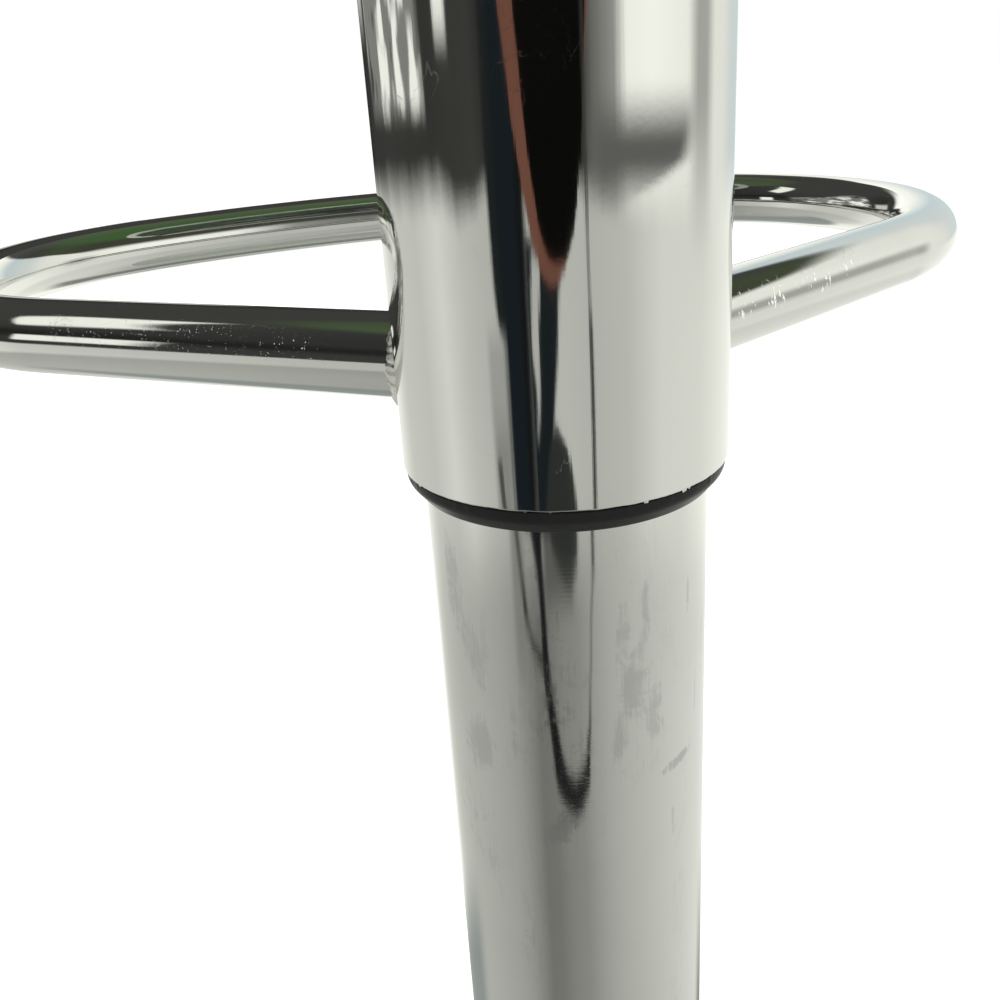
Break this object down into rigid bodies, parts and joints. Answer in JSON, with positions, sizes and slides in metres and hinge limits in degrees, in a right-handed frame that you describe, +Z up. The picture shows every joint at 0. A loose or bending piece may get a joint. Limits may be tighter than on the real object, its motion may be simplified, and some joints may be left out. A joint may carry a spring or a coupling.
{
  "type": "diner counter stool",
  "caption": "Height-adjustable swivel counter stool with a round padded seat, chrome column, welded footrest loop and trumpet base.",
  "frame": {"origin": "on the floor, under the middle of the base, on the column's axis", "axes": "+Z up along the column, -Y towards the front, where the footrest loop points; +X to the left of somebody seated and facing -Y"},
  "size_m": [0.45, 0.45, 0.8002],
  "materials": {
    "chrome": "mirror, fine scratches and rub marks",
    "steel": "zinc plated",
    "painted_steel": "satin black powder coat",
    "black_plastic": "semi-matte moulded",
    "rubber": "matte",
    "plywood": "plywood stained dark green",
    "vinyl": "grained dark green vinyl, satin",
    "foam": "open-cell foam",
    "red_plastic": "moulded"
  },
  "bodies": {
    "base": {"base_shell": "chrome", "floor_ring": "rubber", "ballast_plate": "painted_steel", "base_socket": "steel", "column_tube": "chrome", "column_foot": "steel", "guide_bush": "black_plastic", "bearing_lower_race": "steel"},
    "rod": {"bearing_balls": "steel", "bearing_upper_race": "steel", "piston_rod": "chrome", "piston": "steel", "piston_seal": "rubber", "rod_clip": "steel", "bump_stop": "rubber"},
    "carriage": {"pressure_tube": "painted_steel", "rod_seal": "rubber", "rod_guide": "black_plastic", "valve_body": "steel", "taper_hub": "steel", "sleeve": "chrome", "sleeve_bush": "black_plastic", "footrest": "chrome", "mount_plate": "painted_steel", "lever_pin": "steel", "seat_board": "plywood", "seat_foam": "foam", "seat_cover": "vinyl", "seat_welt": "vinyl", "seat_band": "chrome", "tee_nut_1": "steel", "tee_nut_2": "steel", "tee_nut_3": "steel", "tee_nut_4": "steel", "bolt_washer_1": "steel", "bolt_washer_2": "steel", "bolt_washer_3": "steel", "bolt_washer_4": "steel", "seat_bolt_1": "steel", "seat_bolt_2": "steel", "seat_bolt_3": "steel", "seat_bolt_4": "steel", "band_screw_1": "steel", "band_screw_2": "steel", "band_screw_3": "steel", "band_screw_4": "steel"},
    "lever": {"lever": "chrome", "lever_grip": "black_plastic"},
    "button": {"release_button": "red_plastic"}
  },
  "joints": [
    {"name": "swivel", "type": "hinge", "parent": "base", "child": "rod", "pos_m": [0, 0, 0.03], "axis": [0, 0, 1], "continuous": true},
    {"name": "lift", "type": "slide", "parent": "rod", "child": "carriage", "axis": [0, 0, 1], "range_m": [-0.2, 0]},
    {"name": "lever_tilt", "type": "hinge", "parent": "carriage", "child": "lever", "pos_m": [-0.028, 0, 0.7003], "axis": [0, 1, 0], "range_deg": [0, 6], "stiffness_Nm_per_rad": 2.5},
    {"name": "button_press", "type": "slide", "parent": "carriage", "child": "button", "axis": [0, 0, -1], "range_m": [0, 0.003], "stiffness_N_per_m": 100}
  ],
  "couplings": [
    {"joint": "button_press", "follows": "lever_tilt", "m_per_rad": 0.028}
  ]
}
